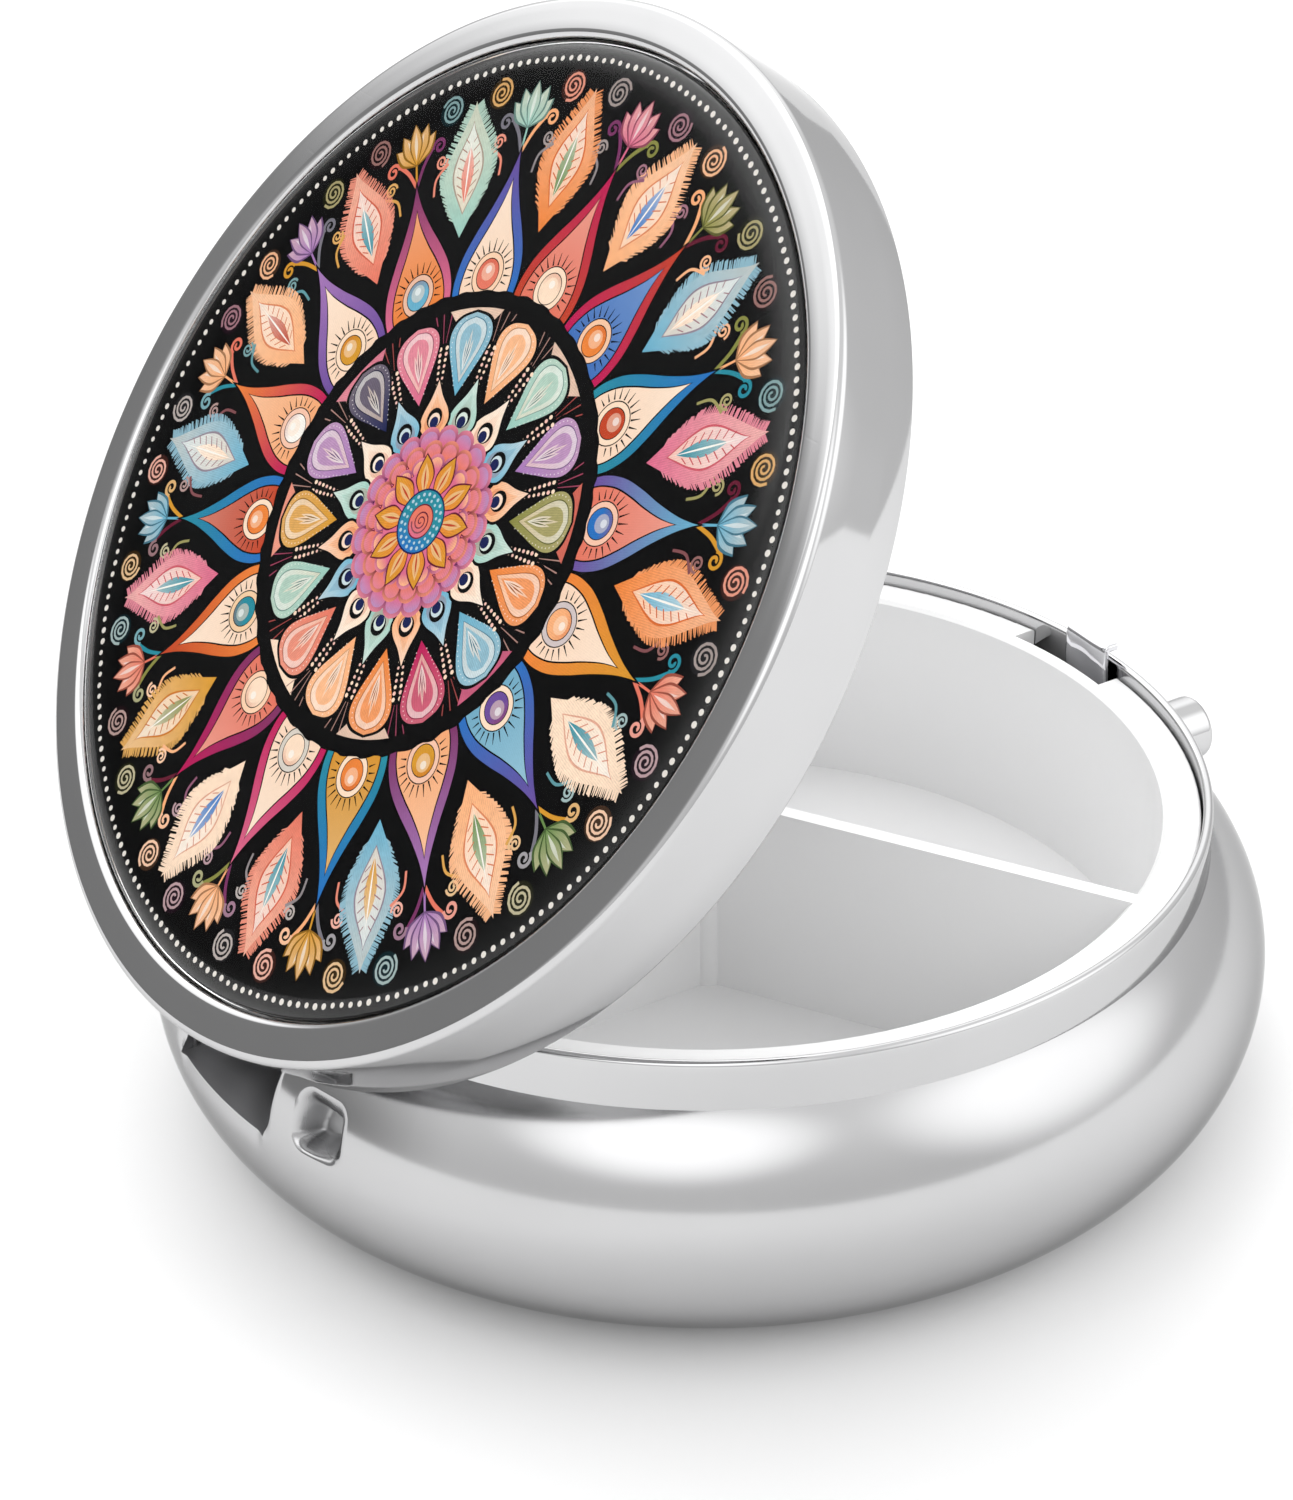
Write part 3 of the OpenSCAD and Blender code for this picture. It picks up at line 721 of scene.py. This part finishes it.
def lathe(name, profile, loop=False, gap=0.0):
    """Turns (radius, height) points in mm about Z. gap leaves out that angle at +Y and caps it."""
    steps = LATHE_STEPS
    bm = bmesh.new()
    full = gap == 0.0
    count = steps if full else steps + 1
    first = math.pi / 2 + gap
    span = math.tau - 2 * gap
    rings = []
    for r, z in profile:
        if r < 1e-6:
            rings.append([bm.verts.new((0, 0, z * MM))])
        else:
            rings.append([bm.verts.new((r * MM * math.cos(first + span * i / steps),
                                        r * MM * math.sin(first + span * i / steps), z * MM))
                          for i in range(count)])
    pairs = list(zip(rings, rings[1:]))
    if loop:
        pairs.append((rings[-1], rings[0]))
    for a, b in pairs:
        for i in range(steps):
            j = (i + 1) % count
            if len(a) == 1 and len(b) == 1:
                break
            if len(a) == 1:
                bm.faces.new((a[0], b[i], b[j]))
            elif len(b) == 1:
                bm.faces.new((a[i], a[j], b[0]))
            else:
                bm.faces.new((a[i], b[i], b[j], a[j]))
    if not full:
        bm.faces.new([ring[0] for ring in rings])
        bm.faces.new([ring[-1] for ring in rings][::-1])
    bmesh.ops.recalc_face_normals(bm, faces=bm.faces)
    for f in bm.faces:
        f.smooth = True
    mesh = bpy.data.meshes.new(name)
    bm.to_mesh(mesh)
    bm.free()
    mesh.set_sharp_from_angle(angle=SHARP_LATHE)
    return mesh


def dome_mesh():
    """Clear dome with a flat underside, an upright edge, a wide rolled shoulder and a low crown."""
    z0 = PICTURE_Z + 0.012
    edge, top, shoulder, roll, clear_r = 0.12, 1.02, 1.7, 0.62, 19.0
    rr = DISC_R - shoulder
    prof = [(0, z0), (rr, z0), (DISC_R - 0.03, z0), (DISC_R, z0 + 0.03)]
    prof += arc(rr, z0 + edge, shoulder, 0, 84, 21, roll)
    last = prof[-1]
    prof += [(last[0] * (1 - i / 24), last[1] + (z0 + top - last[1]) * (1 - (1 - i / 24) ** 2))
             for i in range(1, 25)]
    mesh = lathe("dome", prof)
    weight = mesh.attributes.new("shoulder", "FLOAT", "POINT")
    values = []
    for v in mesh.vertices:
        values.append(step((math.hypot(v.co.x, v.co.y) / MM - clear_r) / (DISC_R - clear_r)))
    weight.data.foreach_set("value", values)
    mesh.transform(LID)
    return mesh


def lid_mesh():
    """Drum lid: skirt with a rolled lower edge, soft outer corner, flat bezel, rounded lip, recess."""
    out_r, in_r, low, top, corner = 22.88, 22.5, 12.4, 16.6, 0.35
    prof = arc(in_r + 0.19, low + 0.12, 0.19, 180, 360, 10, 0.12)
    prof += [(out_r, low + 1.4), (out_r, top - corner - 1.0)]
    prof += arc(out_r - corner, top - corner, corner, 0, 90, 12)
    prof += [(22.2, top), (21.8, top)]
    prof += arc(21.38, top - 0.30, 0.36, 90, 180, 12, 0.30)
    prof += [(RECESS_R, RECESS_Z + 0.2), (RECESS_R, RECESS_Z), (20.0, RECESS_Z), (0, RECESS_Z)]
    under, drum = RECESS_Z - 0.35, RECESS_R + 0.35
    prof += [(0, under), (20.0, under), (drum, under), (drum, top - 0.38)]
    prof += arc(in_r - 0.37, top - 0.75, 0.37, 90, 0, 8)
    prof += [(in_r, low + 1.4)]
    mesh = lathe("lid_cover", prof, loop=True)
    mesh.transform(LID)
    return mesh


def neck_mesh():
    """Upright ring with a fully rounded rim, open at the hinge."""
    out_r, wall, low, top = NECK_R, NECK_T, 10.6, 14.5
    prof = [(out_r - wall, low), (out_r, low), (out_r, 12.3), (out_r, top - wall / 2 - 0.3)]
    prof += arc(out_r - wall / 2, top - wall / 2, wall / 2, 0, 180, 16)
    prof += [(out_r - wall, top - wall / 2 - 0.3), (out_r - wall, 12.3)]
    return lathe("neck_rim", prof, loop=True, gap=math.asin(SLOT_W / out_r))



def bowl_mesh():
    """Pressed bowl: flat foot, rolled bulge, a soft pocket and a rolled edge at the hinge opening."""
    phi_top = math.degrees(math.acos((NECK_R - BULGE_C) / BULGE_R))
    cols = [-27 + 0.2 * i for i in range(271)] + [28.5 + 1.5 * i for i in range(203)]
    rows = [-90 + 3 * i for i in range(31)]
    rows += [0.6 * (i + 1) for i in range(int(phi_top / 0.6))] + [phi_top]
    bm = bmesh.new()
    outer, inner = [], []
    for phi in rows:
        p = math.radians(phi)
        lines = [], []
        for c in cols:
            t = math.radians(c)
            way = Vector((-math.sin(t) * math.cos(p), math.cos(t) * math.cos(p), math.sin(p)))
            hub = Vector((-math.sin(t) * BULGE_C, math.cos(t) * BULGE_C, SEAT_Z))
            at = hub + way * BULGE_R
            sink, bed = 0.0, 0.0
            if math.cos(t) > 0.8 and at.z > 6:
                sink, bed = dent(t, at)
            lines[0].append(bm.verts.new((at - way * sink) * MM))
            lines[1].append(bm.verts.new((hub + way * (BULGE_R - SHELL_T - bed)) * MM))
        outer.append(lines[0])
        inner.append(lines[1])
    n_cols = len(cols)
    for grid, z in ((outer, 0.0), (inner, SHELL_T)):
        centre = bm.verts.new((0, 0, z * MM))
        for i in range(n_cols):
            j = (i + 1) % n_cols
            bm.faces.new((centre, grid[0][j], grid[0][i]))
            for a, b in zip(grid, grid[1:]):
                bm.faces.new((a[i], a[j], b[j], b[i]))
    for i in range(n_cols):
        j = (i + 1) % n_cols
        bm.faces.new((outer[-1][i], outer[-1][j], inner[-1][j], inner[-1][i]))
    for f in bm.faces:
        f.smooth = True
    bmesh.ops.recalc_face_normals(bm, faces=bm.faces)
    mesh = bpy.data.meshes.new("bowl")
    bm.to_mesh(mesh)
    bm.free()
    return mesh


def pocket_gap(t, at):
    """Distance to the pocket's edge along the skin, negative inside it."""
    u, v = (t - POCKET_A) * POCKET_SKIN_R, at.z - POCKET_Z
    du, dv = abs(u) - POCKET_W / 2 + POCKET_CORNER, abs(v) - POCKET_H / 2 + POCKET_CORNER
    return math.hypot(max(du, 0), max(dv, 0)) + min(max(du, dv), 0) - POCKET_CORNER, u, v


def dent(t, at):
    """How far the outer and the inner skin sink at angle t: the pocket and the opening's rolled edges."""
    away, u, v = pocket_gap(t, at)
    soft = 0.8 + 0.5 * step((u + 0.4) / 1.6) + 0.35 * step((v + 0.4) / 1.6)
    sink = 1.3 * step((0.12 - away) / soft)
    bed = 1.2 * step((0.9 - away) / 0.9)
    side = abs(at.x) - SLOT_W
    low = SLOT_Z - at.z
    if low < 0.1 and side < SLOT_ROLL:
        left = SLOT_ROLL - min(SLOT_ROLL, max(0.0, side))
        roll = SLOT_ROLL - math.sqrt(max(0.0, SLOT_ROLL ** 2 - left ** 2))
        sink += roll * step((0.1 - low) / 1.2)
    if -0.5 < low < 0.7 and side < 0:
        sink += 0.12 * (1 - step(low / 0.7)) * step(-side / 0.5)
    if at.z < SLOT_Z + 0.4:
        bed = max(bed, 2.9 * step((SLOT_W + 0.45 - abs(at.x)) / 0.4) * step((at.z - 5.3) / 1.0))
    return sink, max(bed, sink - 0.4)


def mark_rough_and_shaded(mesh):
    """Marks the pocket and the cut edge of the opening, which the polishing wheel did not reach, so they
    render rougher; the same marks darken them with painted shade.
    """
    marks = mesh.attributes.new("satin", "FLOAT", "CORNER")
    values = [0.0] * len(mesh.loops)
    for f in mesh.polygons:
        ledge = f.normal.z > 0.98 and abs(f.center.z / MM - LEDGE_Z) < 0.01 and f.center.y > 0
        for k in f.loop_indices:
            at = mesh.vertices[mesh.loops[k].vertex_index].co / MM
            if ledge:
                values[k] = 1.0
            elif at.y > 15 and 6 < at.z < 12:
                away = pocket_gap(math.atan2(-at.x, at.y), at)[0]
                values[k] = step((0.2 - away) / 0.7)
    marks.data.foreach_set("value", values)
    return mesh


def cut(mesh, cutters):
    """Takes solid meshes away from a mesh with exact booleans."""
    scene = bpy.context.scene.collection
    obj = bpy.data.objects.new("work", mesh)
    scene.objects.link(obj)
    tools = []
    for tool in cutters:
        other = bpy.data.objects.new("tool", tool)
        scene.objects.link(other)
        tools.append(other)
        mod = obj.modifiers.new("cut", "BOOLEAN")
        mod.operation, mod.solver, mod.object = "DIFFERENCE", "EXACT", other
    graph = bpy.context.evaluated_depsgraph_get()
    made = bpy.data.meshes.new_from_object(obj.evaluated_get(graph))
    for o in (obj, *tools):
        bpy.data.objects.remove(o)
    made.set_sharp_from_angle(angle=SHARP_CUT)
    return made


def box_mesh(lo, hi):
    bm = bmesh.new()
    bmesh.ops.create_cube(bm, size=1.0)
    for v in bm.verts:
        v.co = Vector([(l + h) / 2 + c * (h - l) for l, h, c in zip(lo, hi, v.co)]) * MM
    mesh = bpy.data.meshes.new("box")
    bm.to_mesh(mesh)
    bm.free()
    return mesh


def rod_mesh(r, y0, y1, z):
    """Cylinder along Y, for the button's hole."""
    bm = bmesh.new()
    bmesh.ops.create_cone(bm, cap_ends=True, segments=96, radius1=r * MM, radius2=r * MM,
                          depth=(y1 - y0) * MM)
    mesh = bpy.data.meshes.new("rod")
    bm.to_mesh(mesh)
    bm.free()
    mesh.transform(Matrix.Translation((0, (y0 + y1) / 2 * MM, z * MM))
                   @ Matrix.Rotation(math.pi / 2, 4, "X"))
    return mesh


STRIP_T, STRIP_W, STRIP_Y, WAVY_ABOVE = 0.35, 2.9, 21.375, 12.5


def latch_mesh():
    """Thin sheet strip with a rounded bend and lip, slightly uneven as stamped sheet is."""
    thick, half, corner = STRIP_T, STRIP_W / 2, 0.13
    path = [(-STRIP_Y, 6.35 + 0.42 * i) for i in range(20)]
    path += [(-STRIP_Y - 0.175 + 0.175 * math.cos(math.radians(a)), 14.93 + 0.22 * math.sin(math.radians(a)))
             for a in range(0, 91, 15)]
    path += [(-21.7, 15.15), (-21.85, 15.15), (-22.0, 15.14)]
    section = []
    for cx, cn, a0 in ((half - corner, thick / 2 - corner, 0), (-half + corner, thick / 2 - corner, 90),
                       (-half + corner, -thick / 2 + corner, 180), (half - corner, -thick / 2 + corner, 270)):
        section += [(cx + corner * math.cos(math.radians(a0 + 22.5 * k)),
                     cn + corner * math.sin(math.radians(a0 + 22.5 * k))) for k in range(5)]
    dense = []
    for (x0, n0), (x1, _) in zip(section, section[1:] + section[:1]):
        dense.append((x0, n0))
        if abs(x1 - x0) > 1:
            dense += [(x0 + (x1 - x0) * k / 9, n0) for k in range(1, 9)]
    bm = bmesh.new()
    rings = []
    for i, (y, z) in enumerate(path):
        y0, z0 = path[max(i - 1, 0)]
        y1, z1 = path[min(i + 1, len(path) - 1)]
        ty, tz = y1 - y0, z1 - z0
        ln = math.hypot(ty, tz)
        ny, nz = -tz / ln, ty / ln
        ring = []
        for x, m in dense:
            wave = 0.022 * math.sin(2.6 * x + 1.1 * z) + 0.018 * math.sin(3.9 * z - 1.7 * x)
            m2 = m - (wave if z > WAVY_ABOVE else 0)
            ring.append(bm.verts.new((x * MM, (y + ny * m2) * MM, (z + nz * m2) * MM)))
        rings.append(ring)
    k = len(dense)
    for a, b in zip(rings, rings[1:]):
        for i in range(k):
            bm.faces.new((a[i], a[(i + 1) % k], b[(i + 1) % k], b[i]))
    bm.faces.new(rings[0][::-1])
    bm.faces.new(rings[-1])
    bmesh.ops.recalc_face_normals(bm, faces=bm.faces)
    for f in bm.faces:
        f.smooth = True
    mesh = bpy.data.meshes.new("latch")
    bm.to_mesh(mesh)
    bm.free()
    mesh.set_sharp_from_angle(angle=SHARP_STRIP)
    return mesh


bowl = cut(bowl_mesh(), [box_mesh((-SLOT_W, 15, LEDGE_Z), (SLOT_W, 35, 20)),
                         rod_mesh(BUTTON_R, -30, -18, BUTTON_Z)])
piece("base_bowl", mark_rough_and_shaded(bowl), "base", ["base_shell"], [shaded_bowl_plating])
piece("neck_rim", neck_mesh(), "base", ["neck_ring"], [lid_chrome])
piece("lid_cover", lid_mesh(), "lid", ["lid_shell"], [lid_chrome])
piece("latch_plate", latch_mesh(), "button", ["latch_strip"], [latch_chrome])
piece("lid_picture", picture_mesh(), "lid", ["art_disc"], [ink()])
dome = piece("lid_dome", dome_mesh(), "lid", ["cabochon"], [glass(), bonded()])
lid_up = (LID.to_3x3() @ Vector((0, 0, 1))).normalized()
for f in dome.data.polygons:
    if f.normal.dot(lid_up) < -0.9:
        f.material_index = 1

# ---------------------------------------------------------------- floor
def floor_material():
    mat, n, out = material("floor")
    at = n.add("ShaderNodeTexCoord").outputs["Object"]
    tone = n.mix(n.noise(at, 30, 2), (0.88, 0.88, 0.88, 1), (0.865, 0.865, 0.865, 1))
    principled(n, out, Base_Color=tone, Roughness=0.6, Specular_IOR_Level=0.2)
    return mat


bm = bmesh.new()
bmesh.ops.create_grid(bm, x_segments=8, y_segments=8, size=3.0)
floor_mesh = bpy.data.meshes.new("floor")
bm.to_mesh(floor_mesh)
bm.free()
floor = bpy.data.objects.new("floor", floor_mesh)
bpy.context.scene.collection.objects.link(floor)
floor_mesh.materials.append(floor_material())


# ---------------------------------------------------------------- studio light
def studio():
    """Soft white dome of light: brighter overhead, greyer low on one side, a few soft boxes."""
    world = bpy.data.worlds.new("studio")
    bpy.context.scene.world = world
    world.use_nodes = True
    n = Nodes(world.node_tree)
    out = n.add("ShaderNodeOutputWorld")
    way = n.add("ShaderNodeTexCoord").outputs["Generated"]
    split = n.add("ShaderNodeSeparateXYZ")
    n.put(way, split.inputs[0])
    level = n.span(split.outputs[2], 0.1, 0.9, 0.86, 1.12, True)

    def lobe(azimuth, elevation, inner, outer, gain, total):
        """Adds gain inside a soft cone about a direction; inner and outer are its angles."""
        d = back_vector(azimuth, elevation)
        dot = n.add("ShaderNodeVectorMath", operation="DOT_PRODUCT")
        n.put(way, dot.inputs[0])
        dot.inputs[1].default_value = d
        fac = n.span(dot.outputs["Value"], math.cos(math.radians(outer)),
                     math.cos(math.radians(inner)), 0.0, gain, True)
        return n.math("ADD", total, fac)

    for spec in LOBES:
        level = lobe(*spec, level)
    level = n.math("MAXIMUM", level, 0.05)
    shade = n.add("ShaderNodeBackground")
    n.put(level, shade.inputs["Strength"])
    shade.inputs["Color"].default_value = (1, 1, 1, 1)
    n.put(shade.outputs[0], out.inputs["Surface"])


LOBES = [
    (138, 5, 16, 50, -0.55),
    (106, 52, 31, 37, 1.2),
    (314, 32, 3, 36, 0.95),
    (227, 46, 1, 31, 1.0),
    (58, 26, 10, 32, 0.8),
]
studio()
